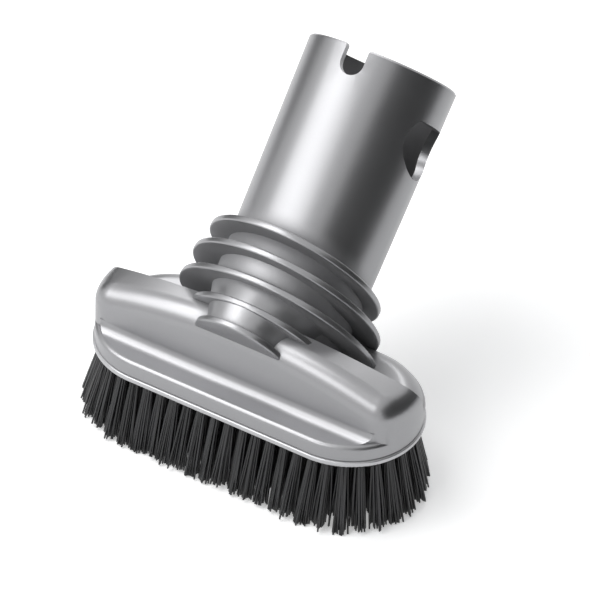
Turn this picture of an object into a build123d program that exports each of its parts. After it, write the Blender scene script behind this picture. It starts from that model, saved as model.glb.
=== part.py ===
from build123d import *
from dataclasses import dataclass
from math import cos, hypot, pi, radians, sin, tan
import os

# Dusting brush for a vacuum cleaner, in millimetres. X runs along the brush, Y from its front to its back
# and Z up. The origin is the middle of the plane that the bristle tips rest on.

# Bristles
BRISTLE_HEIGHT = 18.0
TUFT_PITCH = 3.5
TUFT_ROOT_RADIUS = 1.05
TUFT_TIP_RADIUS = 1.6
TUFT_CLEARANCE = 0.05
TUFT_DEPTH = 2.4
TUFT_SIDES = 8
OUTER_LOOP_INSET = 3.0
OUTER_SPLAY = 13.0
LOOP_SPACING = 3.2
INNER_SPLAY = 5.0

# Stadium outline that the plate and the housing share: the distance of each end's centre from the middle
END_CENTRE = 22.85

# Brush plate
PLATE_LIP = 0.4
PLATE_FLANGE = 1.3
PLATE_EDGE = 0.35
PLATE_BOSS = 2.2
PLATE_CLEARANCE = 0.1
SUCTION_SLOT_INSET = 2.4

# Housing: skirt, front ridge and back shoulder, with heights above the underside of the plate
WALL = 1.7
SKIRT_RADIUS = 17.0
SKIRT_TOP = 5.3
SKIRT_EDGE = 1.1
PARTING_EDGE = 0.3
LEDGE_DEPTH = 6.6
LEDGE_FOOT = 2.4
RIDGE_TOP = 20.2
RIDGE_ARCH_RADIUS = 125.0
RIDGE_CORNER = 5.6
RIDGE_SHOULDER = 5.0
RIDGE_BACK = 1.9
RIDGE_BACK_HEIGHT = 18.3
RIDGE_BACK_LEAN = 63.0
BACK_TOP = 8.6
BACK_SHOULDER = 6.0

# Tube: its mouth's centre, above the underside of the plate, and its lean from upright
MOUTH_Y = 49.5
MOUTH_HEIGHT = 55.8
TUBE_LEAN = 43.65
TUBE_MOUTH_RADIUS = 17.5
TUBE_TAPER = 0.0145
TUBE_WALL = 2.0
TUBE_LENGTH = 48.0
MOUTH_EDGE = 0.4

# Neck: from the end of the tube to an oval opening inside the body
NECK_OVAL_X = 17.0
NECK_OVAL_Y = 12.0
NECK_OVAL_CENTRE_Y = 3.4
NECK_OVAL_HEIGHT = 6.0
NECK_WALL = 1.4

# Keying slot in the mouth's front edge, and the window that a catch drops into on the right
KEY_SLOT_WIDTH = 5.6
KEY_SLOT_DEPTH = 6.6
KEY_SLOT_CORNER = 0.8
WINDOW_TOP = 9.3
WINDOW_TOP_WIDTH = 13.0
WINDOW_WIDEST = 14.1
WINDOW_WIDTH = 17.8
WINDOW_BOTTOM = 21.5

# Fins: thin discs round a core, which lean back further than the tube and get smaller towards the front
FIN_LEAN = 60.0
FIN_THICKNESS = 1.5
FIN_EDGE = 0.45
FIN_FIRST = 49.9
FIN_PITCH = 5.85
FIN_KEEL = 4.0


@dataclass
class Ring:
    """A round section: its radius, and how far its centre sits above the tube's axis within its own plane."""

    radius: float
    rise: float


FINS = [Ring(21.1, 1.5), Ring(23.2, -0.1), Ring(24.6, -2.2), Ring(17.3, 5.3), Ring(11.1, 13.9)]
CORE = [Ring(16.4, 1.1), Ring(15.2, 4.4), Ring(14.4, 5.6), Ring(11.0, 11.5), Ring(8.6, 14.6)]

OUTER_LOOP_RADIUS = SKIRT_RADIUS - OUTER_LOOP_INSET
INNER_LOOP_RADIUS = OUTER_LOOP_RADIUS - LOOP_SPACING
SUCTION_SLOT_RADIUS = INNER_LOOP_RADIUS - SUCTION_SLOT_INSET
PLATE_RADIUS = SKIRT_RADIUS + PLATE_LIP
RIDGE_FRONT = SKIRT_RADIUS - LEDGE_DEPTH
TUBE_BORE_RADIUS = TUBE_MOUTH_RADIUS - TUBE_WALL
PLATE_BOTTOM = BRISTLE_HEIGHT
HOUSING_BOTTOM = PLATE_BOTTOM + PLATE_FLANGE
PLATE_TOP = HOUSING_BOTTOM + PLATE_BOSS
WALL_BOTTOM = HOUSING_BOTTOM + SKIRT_EDGE
CAVITY_RADIUS = SKIRT_RADIUS - WALL
BEYOND = 200.0


def leaning(lean):
    """Unit vector in the YZ plane at an angle from upright, leaning towards the back."""
    return Vector(0, sin(radians(lean)), cos(radians(lean)))


TUBE_AXIS = leaning(TUBE_LEAN)
FIN_AXIS = leaning(FIN_LEAN)
MOUTH = Vector(0, MOUTH_Y, PLATE_BOTTOM + MOUTH_HEIGHT)


def along_tube(distance):
    """Point on the tube's axis, at a distance from the mouth's centre down towards the body."""
    return MOUTH - TUBE_AXIS * distance


def square_to(axis, point):
    """Plane at a point, square to an axis in the YZ plane, whose own x is the part's X."""
    return Plane(origin=point, x_dir=(1, 0, 0), z_dir=axis)


def stadium(radius):
    """Stadium outline with its ends' centres at the shared distance."""
    return SlotCenterToCenter(2 * END_CENTRE, 2 * radius)


def upright(sketch, bottom, top):
    """Prism of a flat outline between two heights."""
    return Pos(0, 0, bottom) * extrude(sketch, top - bottom)


def top_edges(solid, height):
    """Edges that reach above a height."""
    return solid.edges().filter_by(lambda edge: edge.bounding_box().min.Z > height)


def arch(top):
    """Everything under the ridge's top, which is a shallow arch along X."""
    centre = PLATE_BOTTOM + top - RIDGE_ARCH_RADIUS
    disc = Plane.XZ * Pos(0, centre) * Circle(RIDGE_ARCH_RADIUS)
    return extrude(disc, BEYOND / 2, both=True)


def ahead_of(plane):
    """Half space on the front side of a plane that faces the back."""
    return plane * Pos(0, 0, -BEYOND / 2) * Box(BEYOND, BEYOND, BEYOND)


def ridge(inset, bottom):
    """Tall rounded ridge along the front of the body, or its hollow when inset."""
    outline = stadium(SKIRT_RADIUS - inset) & Pos(0, BEYOND / 2 - RIDGE_FRONT + inset) * Rectangle(BEYOND, BEYOND)
    corners = outline.vertices().group_by(Axis.Y)[0]
    outline = fillet(corners, RIDGE_CORNER - inset)
    block = upright(outline, bottom, PLATE_BOTTOM + RIDGE_TOP + inset) & arch(RIDGE_TOP - inset)
    shoulder = top_edges(block, bottom + RIDGE_SHOULDER)
    block = fillet(shoulder, RIDGE_SHOULDER - inset)
    facing = leaning(RIDGE_BACK_LEAN)
    back = Vector(0, -RIDGE_BACK, PLATE_BOTTOM + RIDGE_BACK_HEIGHT) - facing * inset
    return block & ahead_of(square_to(facing, back))


def back_shoulder(inset, bottom):
    """Low rounded shell behind the ridge, or its hollow when inset."""
    outline = stadium(SKIRT_RADIUS - inset) & Pos(0, BEYOND / 2 - RIDGE_BACK) * Rectangle(BEYOND, BEYOND)
    block = upright(outline, bottom, PLATE_BOTTOM + BACK_TOP - inset)
    rim = top_edges(block, bottom + SKIRT_EDGE).filter_by(lambda edge: edge.bounding_box().max.Y > 0)
    return fillet(rim, BACK_SHOULDER - inset)


def skirt():
    """Low stadium wall that shows as a ledge along the front."""
    block = upright(stadium(SKIRT_RADIUS), HOUSING_BOTTOM, PLATE_BOTTOM + SKIRT_TOP)
    block = chamfer(block.edges().group_by(Axis.Z)[0], PARTING_EDGE)
    return fillet(block.edges().group_by(Axis.Z)[-1], SKIRT_EDGE)


def ledge_foot():
    """Hollow curve that runs from the ledge up into the ridge's front wall."""
    top = PLATE_BOTTOM + SKIRT_TOP + LEDGE_FOOT
    strip = stadium(SKIRT_RADIUS - SKIRT_EDGE) & Pos(0, -RIDGE_FRONT) * Rectangle(BEYOND, 2 * LEDGE_FOOT)
    scoop = Pos(0, -RIDGE_FRONT - LEDGE_FOOT, top) * Rot(0, 90, 0) * Cylinder(LEDGE_FOOT, BEYOND)
    return upright(strip, WALL_BOTTOM, top) - scoop


def tube_radius(distance):
    """Outer radius of the tube, which narrows a little from its mouth."""
    return TUBE_MOUTH_RADIUS - TUBE_TAPER * distance


def neck(inset):
    """Neck between the end of the tube and the oval opening in the body, or its bore when inset."""
    round_end = square_to(TUBE_AXIS, along_tube(TUBE_LENGTH)) * Circle(tube_radius(TUBE_LENGTH) - inset)
    oval = Pos(0, NECK_OVAL_CENTRE_Y, PLATE_BOTTOM + NECK_OVAL_HEIGHT)
    oval = oval * Ellipse(NECK_OVAL_X - inset, NECK_OVAL_Y - inset)
    return loft([oval, round_end])


def tube():
    """Outside of the tube, from the neck to its mouth."""
    lower = square_to(TUBE_AXIS, along_tube(TUBE_LENGTH))
    middle = Pos(0, 0, TUBE_LENGTH / 2)
    cone = lower * middle * Cone(tube_radius(TUBE_LENGTH), TUBE_MOUTH_RADIUS, TUBE_LENGTH)
    return chamfer(cone.edges().filter_by(GeomType.CIRCLE).sort_by(Axis.Z)[-1], MOUTH_EDGE)


def under_neck():
    """Plane along the underside of the neck, a keel's depth below it, that faces down."""
    tube_end = along_tube(TUBE_LENGTH) + Vector(0, TUBE_AXIS.Z, -TUBE_AXIS.Y) * tube_radius(TUBE_LENGTH)
    oval_end = Vector(0, NECK_OVAL_CENTRE_Y + NECK_OVAL_Y, PLATE_BOTTOM + NECK_OVAL_HEIGHT)
    run = (tube_end - oval_end).normalized()
    down = Vector(0, run.Z, -run.Y)
    return square_to(down, oval_end + down * FIN_KEEL)


def fin_plane(index):
    """Middle plane of a fin, with its origin on the tube's axis."""
    return square_to(FIN_AXIS, along_tube(FIN_FIRST + FIN_PITCH * index))


def core(inset):
    """Core that carries the fins, or its hollow when inset."""
    sections = []
    for index, ring in enumerate(CORE):
        sections.append(fin_plane(index) * Pos(0, -ring.rise, inset) * Circle(ring.radius - inset))
    return loft(sections, ruled=True)


def fin(index):
    """One fin, cut off along the neck's underside."""
    ring = FINS[index]
    disc = fin_plane(index) * Pos(0, -ring.rise) * Cylinder(ring.radius, FIN_THICKNESS)
    disc = fillet(disc.edges().filter_by(GeomType.CIRCLE), FIN_EDGE)
    return disc & ahead_of(under_neck()) & Pos(0, 0, HOUSING_BOTTOM + BEYOND / 2) * Box(BEYOND, BEYOND, BEYOND)


def key_slot():
    """Round-ended slot through the front of the mouth's edge."""
    plane = Plane(origin=MOUTH, x_dir=(1, 0, 0), z_dir=Vector(0, -TUBE_AXIS.Z, TUBE_AXIS.Y))
    half = KEY_SLOT_WIDTH / 2
    straight = KEY_SLOT_DEPTH - half
    outline = Rectangle(KEY_SLOT_WIDTH, 2 * straight) + Pos(0, -straight) * Circle(half)
    corner = KEY_SLOT_CORNER
    flare = Rectangle(KEY_SLOT_WIDTH + 2 * corner, 2 * corner)
    for side in (-1, 1):
        flare -= Pos(side * (half + corner), -corner) * Circle(corner)
    return extrude(plane * (outline + flare), 2 * TUBE_MOUTH_RADIUS)


def catch_window():
    """Window in the tube's right side: flat at the top, with round sides and a round bottom."""
    plane = Plane(origin=MOUTH, x_dir=Vector(0, TUBE_AXIS.Z, -TUBE_AXIS.Y), z_dir=(1, 0, 0))
    top = WINDOW_TOP_WIDTH / 2
    side = WINDOW_WIDTH / 2
    low = 2 * WINDOW_WIDEST - WINDOW_TOP
    above = Line((-top, -WINDOW_TOP), (top, -WINDOW_TOP))
    right = ThreePointArc((top, -WINDOW_TOP), (side, -WINDOW_WIDEST), (top, -low))
    below = ThreePointArc((top, -low), (0, -WINDOW_BOTTOM), (-top, -low))
    left = ThreePointArc((-top, -low), (-side, -WINDOW_WIDEST), (-top, -WINDOW_TOP))
    return extrude(plane * make_face([above, right, below, left]), 2 * TUBE_MOUTH_RADIUS)


def housing():
    """One moulding: skirt, ridge, back shoulder, neck with its fins, and the tube."""
    shell = skirt() + ledge_foot() + ridge(0, WALL_BOTTOM) + back_shoulder(0, WALL_BOTTOM)
    shell += neck(0) + core(0) + tube()
    for index in range(len(FINS)):
        shell += fin(index)
    hollow = upright(stadium(CAVITY_RADIUS), HOUSING_BOTTOM, PLATE_BOTTOM + SKIRT_TOP - WALL)
    hollow += ridge(WALL, HOUSING_BOTTOM) + back_shoulder(WALL, HOUSING_BOTTOM)
    hollow += neck(NECK_WALL) + core(NECK_WALL)
    bore = square_to(TUBE_AXIS, along_tube(TUBE_LENGTH / 2)) * Cylinder(TUBE_BORE_RADIUS, TUBE_LENGTH)
    return shell - hollow - bore - key_slot() - catch_window()


@dataclass
class Tuft:
    """A tuft's place on the plate's underside, and the way it leans."""

    x: float
    y: float
    out_x: float
    out_y: float


@dataclass
class TuftLoop:
    """A loop of tufts round the suction slot."""

    name: str
    radius: float
    splay: float

    def straight(self, side):
        """Tufts of the straight run on the front (-1) or the back (1)."""
        spaces = round(2 * END_CENTRE / TUFT_PITCH)
        step = 2 * END_CENTRE / spaces
        return [Tuft(-END_CENTRE + step * i, side * self.radius, 0, side) for i in range(spaces + 1)]

    def round_end(self, side):
        """Tufts round the left (-1) or the right (1) end, from the front to the back."""
        spaces = round(pi * self.radius / TUFT_PITCH)
        turns = [-pi / 2 + pi * i / spaces for i in range(1, spaces)]
        return [self.on_end(side, turn) for turn in turns]

    def on_end(self, side, turn):
        """One tuft of a round end."""
        out_x = side * cos(turn)
        out_y = sin(turn)
        return Tuft(side * END_CENTRE + self.radius * out_x, self.radius * out_y, out_x, out_y)

    def groups(self):
        """Named runs of tufts, each nearly straight: the two sides, and three to each end."""
        yield f"{self.name}_front", self.straight(-1)
        yield f"{self.name}_back", self.straight(1)
        for end, side in (("left", -1), ("right", 1)):
            tufts = self.round_end(side)
            third = len(tufts) // 3
            yield f"{self.name}_{end}_front", tufts[:third]
            yield f"{self.name}_{end}", tufts[third:-third]
            yield f"{self.name}_{end}_back", tufts[-third:]

    def bundle(self, tuft, gap):
        """One tuft as a flared eight-sided bundle, trimmed flat at the tips, or the hole that it sits in."""
        lean = tan(radians(self.splay))
        root = Vector(tuft.x - tuft.out_x * TUFT_DEPTH * lean, tuft.y - tuft.out_y * TUFT_DEPTH * lean)
        root += Vector(0, 0, PLATE_BOTTOM + TUFT_DEPTH)
        down = Vector(tuft.out_x * lean, tuft.out_y * lean, -1).normalized()
        length = (BRISTLE_HEIGHT + TUFT_DEPTH) * hypot(1, lean) + TUFT_TIP_RADIUS
        axis = Plane(origin=root, z_dir=down)
        top = axis * RegularPolygon(TUFT_ROOT_RADIUS + gap, TUFT_SIDES)
        end = axis * Pos(0, 0, length) * RegularPolygon(TUFT_TIP_RADIUS + gap, TUFT_SIDES)
        return loft([top, end], ruled=True) & Pos(0, 0, BEYOND / 2) * Box(BEYOND, BEYOND, BEYOND)


LOOPS = [
    TuftLoop("bristles_outer", OUTER_LOOP_RADIUS, OUTER_SPLAY),
    TuftLoop("bristles_inner", INNER_LOOP_RADIUS, INNER_SPLAY),
]


def brush_plate():
    """Plate that closes the housing: a flange, a boss inside the skirt, the suction slot and the tufts' holes."""
    plate = upright(stadium(PLATE_RADIUS), PLATE_BOTTOM, HOUSING_BOTTOM)
    plate = fillet(plate.edges().group_by(Axis.Z)[0] + plate.edges().group_by(Axis.Z)[-1], PLATE_EDGE)
    plate += upright(stadium(CAVITY_RADIUS - PLATE_CLEARANCE), HOUSING_BOTTOM, PLATE_TOP)
    plate -= upright(stadium(SUCTION_SLOT_RADIUS), PLATE_BOTTOM, PLATE_TOP)
    for loop in LOOPS:
        for _, tufts in loop.groups():
            plate -= [loop.bundle(tuft, TUFT_CLEARANCE) for tuft in tufts]
    return plate


def save(name, solids):
    """Write one node."""
    export_step(Compound(children=solids), os.path.join("parts", f"{name}.step"))


os.makedirs("parts", exist_ok=True)
save("housing", [housing()])
save("brush_plate", [brush_plate()])
for loop in LOOPS:
    for name, tufts in loop.groups():
        save(name, [loop.bundle(tuft, 0) for tuft in tufts])
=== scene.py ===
"""Looks of a vacuum cleaner's dusting brush: satin silver mouldings and black nylon bristles."""

from __future__ import annotations

import logging
import math
import random
from dataclasses import dataclass
from enum import Enum

import bmesh
import bpy
from mathutils import Matrix, Vector


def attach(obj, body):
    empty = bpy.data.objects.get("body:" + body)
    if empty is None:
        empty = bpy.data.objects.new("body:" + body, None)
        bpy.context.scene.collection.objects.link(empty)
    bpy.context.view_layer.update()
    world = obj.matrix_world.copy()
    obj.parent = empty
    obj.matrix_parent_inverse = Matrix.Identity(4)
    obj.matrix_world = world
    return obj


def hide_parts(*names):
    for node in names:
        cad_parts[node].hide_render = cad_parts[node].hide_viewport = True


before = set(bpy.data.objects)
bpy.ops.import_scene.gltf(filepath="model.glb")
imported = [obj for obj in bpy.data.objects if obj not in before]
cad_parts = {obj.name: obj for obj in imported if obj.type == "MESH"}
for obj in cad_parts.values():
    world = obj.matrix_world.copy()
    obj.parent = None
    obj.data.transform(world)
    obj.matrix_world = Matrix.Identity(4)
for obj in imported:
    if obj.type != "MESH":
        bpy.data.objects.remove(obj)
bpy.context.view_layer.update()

LOG = logging.getLogger("dusting_brush")
MM = 0.001
BODY = "root"
# Corners closer than this are one corner of the solid
WELD = 0.002 * MM
# A tuft's root is cut square to its lean, so its rim lies within this height of its top
END_BAND = 1.0 * MM
# Tufts are put in order by their centres, compared to the micrometre
ORDER_DIGITS = 6
UP = Vector((0, 0, 1))


class Slot(Enum):
    """Material slots of the record."""

    HOUSING = "housing"
    PLATE = "plate"
    BRISTLE = "bristle"


def linear(hex_colour: str) -> tuple[float, float, float, float]:
    """Turn an sRGB hex colour into linear light.

    Args:
        hex_colour: Six hex digits, with or without a leading hash.

    Returns:
        Red, green, blue and an alpha of 1.
    """
    digits = hex_colour.lstrip("#")
    channels = [int(digits[i : i + 2], 16) / 255 for i in (0, 2, 4)]
    light = [c / 12.92 if c <= 0.04045 else ((c + 0.055) / 1.055) ** 2.4 for c in channels]
    return (*light, 1.0)


def add_node(
    tree: bpy.types.NodeTree,
    kind: str,
    settings: dict[str | int, object] | None = None,
    links: dict[str | int, bpy.types.NodeSocket] | None = None,
) -> bpy.types.Node:
    """Add a shader node with its settings and links.

    Args:
        tree: The node tree that takes the node.
        kind: Blender's name of the node type.
        settings: Attribute names, or input names or numbers, with their values.
        links: Input names or numbers with the sockets that feed them.

    Returns:
        The new node.
    """
    node = tree.nodes.new(kind)
    for name, value in (settings or {}).items():
        if isinstance(name, int) or name in node.inputs:
            node.inputs[name].default_value = value
        else:
            setattr(node, name, value)
    for name, socket in (links or {}).items():
        tree.links.new(socket, node.inputs[name])
    return node


def new_material(name: str) -> tuple[bpy.types.Material, bpy.types.NodeTree]:
    """Make an empty node material.

    Args:
        name: The material's name.

    Returns:
        The material and its node tree.
    """
    material = bpy.data.materials.new(name)
    material.use_nodes = True
    material.node_tree.nodes.clear()
    return material, material.node_tree


@dataclass(frozen=True)
class MetallicAbs:
    """ABS moulded with aluminium flake in a polished tool: a soft metal sheen with a faint flake sparkle."""

    name: str
    colour: str
    metallic: float = 0.82
    roughness: float = 0.33
    roughness_spread: float = 0.03
    flake_mm: float = 0.35
    flake_height_mm: float = 0.004
    flake_strength: float = 0.25
    flake_shade: float = 0.94
    flake_detail: float = 2.0
    flake_grain: float = 0.6
    cloud_mm: float = 14.0
    cloud_detail: float = 3.0
    recess_mm: float = 6.0
    recess_samples: int = 8
    recess_roughness: float = 0.4
    deep_recess: float = 0.45
    open_face: float = 0.85

    def material(self) -> bpy.types.Material:
        """Build the finish.

        Returns:
            The material.
        """
        material, tree = new_material(self.name)
        place = add_node(tree, "ShaderNodeTexCoord").outputs["Object"]
        # Flake is finer than a pixel in the real plastic, so it is drawn coarser here to show at all
        flake = add_node(
            tree,
            "ShaderNodeTexNoise",
            {"Scale": 1 / (self.flake_mm * MM), "Detail": self.flake_detail, "Roughness": self.flake_grain},
            {"Vector": place},
        )
        cloud = add_node(
            tree,
            "ShaderNodeTexNoise",
            {"Scale": 1 / (self.cloud_mm * MM), "Detail": self.cloud_detail},
            {"Vector": place},
        )
        gloss = add_node(
            tree,
            "ShaderNodeMapRange",
            {
                "To Min": self.roughness - self.roughness_spread,
                "To Max": self.roughness + self.roughness_spread,
            },
            {"Value": cloud.outputs["Fac"]},
        )
        # A polishing tool can't reach between the fins, so deep grooves keep the mould's duller face
        groove = add_node(
            tree,
            "ShaderNodeAmbientOcclusion",
            {"samples": self.recess_samples, "Distance": self.recess_mm * MM},
        )
        dullness = add_node(
            tree,
            "ShaderNodeMapRange",
            {
                "From Min": self.deep_recess,
                "From Max": self.open_face,
                "To Min": self.recess_roughness,
                "To Max": 0.0,
            },
            {"Value": groove.outputs["AO"]},
        )
        sheen = add_node(
            tree,
            "ShaderNodeMath",
            {"operation": "ADD"},
            {0: gloss.outputs["Result"], 1: dullness.outputs["Result"]},
        )
        full = linear(self.colour)
        shaded = (*(c * self.flake_shade for c in full[:3]), 1.0)
        # The mix node's colour sockets share their names with others, so they go by number
        tint = add_node(
            tree,
            "ShaderNodeMix",
            {"data_type": "RGBA", 6: shaded, 7: full},
            {"Factor": flake.outputs["Fac"]},
        )
        bump = add_node(
            tree,
            "ShaderNodeBump",
            {"Strength": self.flake_strength, "Distance": self.flake_height_mm * MM},
            {"Height": flake.outputs["Fac"]},
        )
        shader = add_node(
            tree,
            "ShaderNodeBsdfPrincipled",
            {"Metallic": self.metallic},
            {
                "Base Color": tint.outputs[2],
                "Roughness": sheen.outputs["Value"],
                "Normal": bump.outputs["Normal"],
            },
        )
        add_node(tree, "ShaderNodeOutputMaterial", links={"Surface": shader.outputs["BSDF"]})
        return material


@dataclass(frozen=True)
class NylonFilament:
    """Drawn black nylon: smooth along its length, so each filament carries a narrow grey streak of light."""

    name: str = "nylon_drawn_black"
    dark: str = "#060607"
    pale: str = "#2C2C2E"
    roughness: float = 0.36
    ior: float = 1.53

    def material(self) -> bpy.types.Material:
        """Build the finish.

        Returns:
            The material.
        """
        material, tree = new_material(self.name)
        # Filaments take the dye and the drawing die a little differently, so neighbours differ in depth
        strand = add_node(tree, "ShaderNodeNewGeometry")
        ramp = add_node(tree, "ShaderNodeValToRGB", links={"Fac": strand.outputs["Random Per Island"]})
        ramp.color_ramp.elements[0].color = linear(self.dark)
        ramp.color_ramp.elements[1].color = linear(self.pale)
        shader = add_node(
            tree,
            "ShaderNodeBsdfPrincipled",
            {"Roughness": self.roughness, "IOR": self.ior},
            {"Base Color": ramp.outputs["Color"]},
        )
        add_node(tree, "ShaderNodeOutputMaterial", links={"Surface": shader.outputs["BSDF"]})
        return material


def show(name: str, mesh: bpy.types.Mesh, material: bpy.types.Material) -> bpy.types.Object:
    """Link a mesh as an object with one material.

    Args:
        name: The piece's name.
        mesh: Its mesh.
        material: Its finish.

    Returns:
        The linked object.
    """
    piece = bpy.data.objects.new(name, mesh)
    bpy.context.scene.collection.objects.link(piece)
    mesh.materials.clear()
    mesh.materials.append(material)
    return piece


@dataclass
class Moulding:
    """A moulded piece: the CAD node's own form, with its facets shaded as smooth surfaces."""

    node: str
    slot: Slot
    finish: MetallicAbs
    crease_deg: float = 28.0

    def build(self) -> bpy.types.Object:
        """Copy the node's mesh and shade it.

        Returns:
            The piece that stands for the node.
        """
        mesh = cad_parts[self.node].data.copy()
        shaped = bmesh.new()
        shaped.from_mesh(mesh)
        bmesh.ops.remove_doubles(shaped, verts=shaped.verts, dist=WELD)
        shaped.to_mesh(mesh)
        shaped.free()
        if "custom_normal" in mesh.attributes:
            mesh.attributes.remove(mesh.attributes["custom_normal"])
        mesh.shade_smooth()
        mesh.set_sharp_from_angle(angle=math.radians(self.crease_deg))
        piece = show(f"{self.node}_moulded", mesh, self.finish.material())
        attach(piece, BODY)
        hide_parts(self.node)
        return piece


@dataclass(frozen=True)
class Tuft:
    """Where a tuft leaves the plate and where its tips are trimmed, with its radius at each."""

    root: Vector
    tip: Vector
    root_radius: float
    tip_radius: float


def centre_of(points: list[Vector]) -> Vector:
    """Average some points."""
    return sum(points, Vector()) / len(points)


def islands(node: str) -> list[list[Vector]]:
    """Find the separate solids in a CAD node.

    Args:
        node: The node's name.

    Returns:
        The points of each solid.
    """
    shape = bmesh.new()
    shape.from_mesh(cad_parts[node].data)
    bmesh.ops.remove_doubles(shape, verts=shape.verts, dist=WELD)
    unseen = set(shape.verts)
    groups = []
    for first in shape.verts:
        if first not in unseen:
            continue
        unseen.discard(first)
        front = [first]
        group = [first]
        while front:
            vert = front.pop()
            fresh = [e.other_vert(vert) for e in vert.link_edges if e.other_vert(vert) in unseen]
            unseen.difference_update(fresh)
            front.extend(fresh)
            group.extend(fresh)
        groups.append([v.co.copy() for v in group])
    shape.free()
    return sorted(groups, key=lambda points: tuple(round(c, ORDER_DIGITS) for c in centre_of(points)))


def measure_tuft(points: list[Vector]) -> Tuft:
    """Read a tuft's root and tip from its solid.

    Args:
        points: The points of the solid.

    Returns:
        The tuft.
    """
    top = max(p.z for p in points)
    low = min(p.z for p in points)
    ends = ([p for p in points if p.z > top - END_BAND], [p for p in points if p.z < low + END_BAND])
    centres = [centre_of(end) for end in ends]
    radii = [max((p - c).xy.length for p in end) for end, c in zip(ends, centres)]
    return Tuft(centres[0], centres[1], radii[0], radii[1])


@dataclass
class BristleRun:
    """One run of tufts, drawn as single filaments that flare and fray towards their tips."""

    node: str
    finish: bpy.types.Material
    seed: int
    filaments: int = 44
    filament_radius: float = 0.29 * MM
    tip_taper: float = 0.25
    taper_power: int = 4
    sides: int = 5
    steps: int = 4
    fray: float = 0.36 * MM
    short_by: float = 0.7 * MM
    uneven: float = 0.9 * MM
    bow: float = 0.2 * MM

    def build(self) -> bpy.types.Object:
        """Draw the run's filaments.

        Returns:
            The piece that stands for the node.
        """
        draw = random.Random(self.seed)
        verts: list[Vector] = []
        faces: list[tuple[int, ...]] = []
        for points in islands(self.node):
            tuft = measure_tuft(points)
            trim = draw.uniform(0, self.uneven)
            for _ in range(self.filaments):
                self.add_filament(tuft, trim, draw, verts, faces)
        mesh = bpy.data.meshes.new(f"{self.node}_filaments")
        mesh.from_pydata(verts, [], faces)
        mesh.shade_smooth()
        piece = show(f"{self.node}_filaments", mesh, self.finish)
        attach(piece, BODY)
        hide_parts(self.node)
        return piece

    def add_filament(
        self,
        tuft: Tuft,
        trim: float,
        draw: random.Random,
        verts: list[Vector],
        faces: list[tuple[int, ...]],
    ) -> None:
        """Add one filament as a thin bent tube.

        Args:
            tuft: The tuft that it belongs to.
            trim: How much shorter than the solid the whole tuft is.
            draw: The run's random source.
            verts: Points so far, which grow.
            faces: Faces so far, which grow.
        """
        turn = draw.uniform(0, math.tau)
        # The square root spreads the filaments evenly over the tuft's round section
        spread = math.sqrt(draw.random())
        side = Vector((math.cos(turn), math.sin(turn), 0))
        start = tuft.root + side * spread * (tuft.root_radius - self.filament_radius)
        stray = Vector((draw.gauss(0, self.fray), draw.gauss(0, self.fray), 0))
        end = tuft.tip + side * spread * tuft.tip_radius + stray
        # Squaring leaves most filaments near full length and a few short
        shorter = trim + draw.random() ** 2 * self.short_by
        end = end.lerp(start, shorter / (start - end).length)
        bend = side * draw.gauss(0, self.bow)
        base = len(verts)
        for step in range(self.steps + 1):
            share = step / self.steps
            centre = start.lerp(end, share) + bend * math.sin(math.pi * share) * share
            radius = self.filament_radius * (1 - self.tip_taper * share**self.taper_power)
            for side_index in range(self.sides):
                angle = math.tau * side_index / self.sides + turn
                verts.append(centre + Vector((math.cos(angle), math.sin(angle), 0)) * radius)
        for step in range(self.steps):
            low = base + step * self.sides
            for i in range(self.sides):
                j = (i + 1) % self.sides
                faces.append((low + i, low + self.sides + i, low + self.sides + j, low + j))
        last = base + self.steps * self.sides
        faces.append(tuple(base + i for i in range(self.sides)))
        faces.append(tuple(last + i for i in reversed(range(self.sides))))


@dataclass(frozen=True)
class Softbox:
    """A rectangular soft lamp that faces the object: its place and size in metres, and its watts."""

    name: str
    place: Vector
    size: tuple[float, float]
    power: float


@dataclass(frozen=True)
class Flag:
    """A black card that only reflections see, as a photographer stands up for contrast."""

    name: str
    place: Vector
    size: tuple[float, float]
    lies_flat: bool = False


SOFTBOXES = (
    Softbox("softbox_front_left", Vector((-0.40, -0.60, 0.62)), (1.1, 0.45), 4.4),
    Softbox("softbox_top", Vector((-0.40, -0.22, 0.95)), (0.5, 0.5), 3.4),
    Softbox("softbox_back", Vector((-0.30, 0.65, 0.61)), (0.6, 0.35), 2.0),
)
FLAGS = (
    Flag("flag_right", Vector((0.34, 0.03, 0.18)), (0.85, 0.38)),
    Flag("flag_left", Vector((-0.34, 0.19, 0.10)), (0.36, 0.20)),
    Flag("flag_floor", Vector((0.37, 0.06, 0.001)), (0.4, 0.7), lies_flat=True),
)


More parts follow.
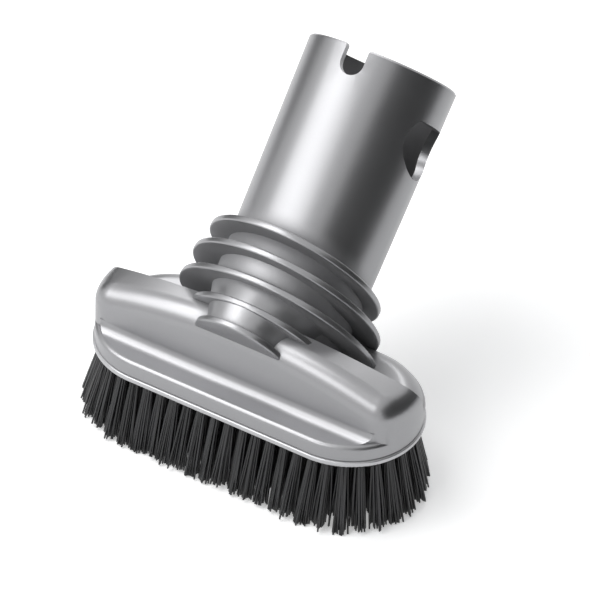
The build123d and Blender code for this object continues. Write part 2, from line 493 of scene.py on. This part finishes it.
@dataclass
class Studio:
    """Pale floor, soft lamps, black flags and the photograph's camera."""

    azimuth: float = math.radians(29.16)
    elevation: float = math.radians(39.13)
    roll: float = math.radians(3.09)
    distance: float = 0.7116
    target: Vector = Vector((0, 0, 0.038))
    image_size: float = 590.0
    pixels_per_metre: float = 4592.9
    target_pixel: tuple[float, float] = (261.2, 307.0)
    sensor_mm: float = 36.0
    near_limit: float = 0.01
    floor_size: tuple[float, float] = (6.0, 6.0)
    paper: str = "#F2F2F2"
    paper_lift: float = 0.38
    cloth: str = "#121212"
    backdrop: str = "#FFFFFF"
    room: str = "#E6E8EA"
    room_strength: float = 0.4

    def camera(self) -> None:
        """Place the camera at the photograph's angle."""
        sin_a, cos_a = math.sin(self.azimuth), math.cos(self.azimuth)
        sin_e, cos_e = math.sin(self.elevation), math.cos(self.elevation)
        back = Vector((sin_a * cos_e, -cos_a * cos_e, sin_e))
        right = Vector((cos_a, sin_a, 0))
        up = back.cross(right)
        turned_right = right * math.cos(self.roll) + up * math.sin(self.roll)
        turned_up = up * math.cos(self.roll) - right * math.sin(self.roll)
        data = bpy.data.cameras.new("camera")
        data.sensor_width = self.sensor_mm
        data.lens = self.pixels_per_metre * self.distance * self.sensor_mm / self.image_size
        data.shift_x = 0.5 - self.target_pixel[0] / self.image_size
        data.shift_y = self.target_pixel[1] / self.image_size - 0.5
        data.clip_start = self.near_limit
        seat = bpy.data.objects.new("camera", data)
        place = Matrix((turned_right, turned_up, back)).transposed().to_4x4()
        place.translation = self.target + back * self.distance
        seat.matrix_world = place
        bpy.context.scene.collection.objects.link(seat)
        bpy.context.scene.camera = seat

    def seen_directly(self, tree: bpy.types.NodeTree) -> bpy.types.NodeSocket:
        """Tell the rays that show a surface as such from those that only carry its light.

        Args:
            tree: The node tree that asks.

        Returns:
            A socket that is 1 for camera rays and for what metal and glass show, and 0 for the rest.
        """
        path = add_node(tree, "ShaderNodeLightPath").outputs
        mirrored = add_node(
            tree,
            "ShaderNodeMath",
            {"operation": "MAXIMUM"},
            {0: path["Is Camera Ray"], 1: path["Is Glossy Ray"]},
        )
        through = add_node(
            tree,
            "ShaderNodeMath",
            {"operation": "MAXIMUM"},
            {0: mirrored.outputs["Value"], 1: path["Is Transmission Ray"]},
        )
        return through.outputs["Value"]

    def card(
        self,
        name: str,
        place: Vector,
        size: tuple[float, float],
        surface: bpy.types.Material,
    ) -> bpy.types.Object:
        """Set up a flat rectangle.

        Args:
            name: The card's name.
            place: Its middle.
            size: Its width and height in metres.
            surface: Its material.

        Returns:
            The card, lying flat.
        """
        mesh = bpy.data.meshes.new(name)
        shaped = bmesh.new()
        # A grid's size is half its width, so this one is a unit square
        bmesh.ops.create_grid(shaped, x_segments=1, y_segments=1, size=0.5)
        bmesh.ops.scale(shaped, vec=Vector((*size, 1)), verts=shaped.verts)
        shaped.to_mesh(mesh)
        shaped.free()
        card = show(name, mesh, surface)
        card.location = place
        return card

    def floor(self) -> None:
        """Lay the floor: white paper that is lifted to white where it is seen, and keeps the shadow."""
        material, tree = new_material("floor_paper_white")
        paper = add_node(tree, "ShaderNodeBsdfDiffuse", {"Color": linear(self.paper)})
        lift = add_node(
            tree,
            "ShaderNodeMath",
            {"operation": "MULTIPLY", 1: self.paper_lift},
            {0: self.seen_directly(tree)},
        )
        glow = add_node(tree, "ShaderNodeEmission", links={"Strength": lift.outputs["Value"]})
        both = add_node(
            tree,
            "ShaderNodeAddShader",
            links={0: paper.outputs["BSDF"], 1: glow.outputs["Emission"]},
        )
        add_node(tree, "ShaderNodeOutputMaterial", links={"Surface": both.outputs["Shader"]})
        self.card("floor", Vector(), self.floor_size, material)

    def stand_flag(self, flag: Flag) -> None:
        """Set up a flag of matt black cloth, which darkens only what the metal mirrors.

        Args:
            flag: The flag.
        """
        material, tree = new_material(f"{flag.name}_cloth_black")
        cloth = add_node(tree, "ShaderNodeBsdfDiffuse", {"Color": linear(self.cloth)})
        add_node(tree, "ShaderNodeOutputMaterial", links={"Surface": cloth.outputs["BSDF"]})
        card = self.card(flag.name, flag.place, flag.size, material)
        facing = UP if flag.lies_flat else self.target - flag.place
        card.rotation_euler = facing.to_track_quat("Z", "Y").to_euler()
        card.visible_camera = False
        card.visible_diffuse = False
        card.visible_shadow = False

    def hang_lamp(self, softbox: Softbox) -> None:
        """Hang a softbox and turn it to the object.

        Args:
            softbox: The softbox.
        """
        data = bpy.data.lights.new(softbox.name, "AREA")
        data.shape = "RECTANGLE"
        data.size, data.size_y = softbox.size
        data.energy = softbox.power
        lamp = bpy.data.objects.new(softbox.name, data)
        lamp.location = softbox.place
        lamp.rotation_euler = (self.target - softbox.place).to_track_quat("-Z", "Y").to_euler()
        bpy.context.scene.collection.objects.link(lamp)

    def world(self) -> None:
        """Light the room softly, with a white background for the camera and reflections."""
        world = bpy.data.worlds.new("studio")
        world.use_nodes = True
        tree = world.node_tree
        tree.nodes.clear()
        white = add_node(tree, "ShaderNodeBackground", {"Color": linear(self.backdrop), "Strength": 1.0})
        room = add_node(
            tree,
            "ShaderNodeBackground",
            {"Color": linear(self.room), "Strength": self.room_strength},
        )
        mix = add_node(
            tree,
            "ShaderNodeMixShader",
            links={"Fac": self.seen_directly(tree), 1: room.outputs[0], 2: white.outputs[0]},
        )
        add_node(tree, "ShaderNodeOutputWorld", links={"Surface": mix.outputs[0]})
        bpy.context.scene.world = world

    def build(self) -> None:
        """Set up the whole studio."""
        bpy.context.scene.view_settings.view_transform = "Standard"
        self.camera()
        self.floor()
        self.world()
        for softbox in SOFTBOXES:
            self.hang_lamp(softbox)
        for flag in FLAGS:
            self.stand_flag(flag)


def main() -> None:
    """Build the studio and dress the brush, piece by piece."""
    logging.basicConfig(level=logging.INFO, format="%(name)s: %(message)s")
    Studio().build()
    silver = MetallicAbs("abs_moulded_silver_flake", "#9B9B9D")
    pale_silver = MetallicAbs("abs_moulded_pale_silver_flake", "#B9B9BB")
    pieces = [Moulding("housing", Slot.HOUSING, silver).build()]
    pieces.append(Moulding("brush_plate", Slot.PLATE, pale_silver).build())
    nylon = NylonFilament().material()
    runs = sorted(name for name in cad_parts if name.startswith("bristles"))
    pieces.extend(BristleRun(name, nylon, seed).build() for seed, name in enumerate(runs))
    for piece in pieces:
        LOG.info("%s: %d faces", piece.name, len(piece.data.polygons))


if __name__ == "__main__":
    main()
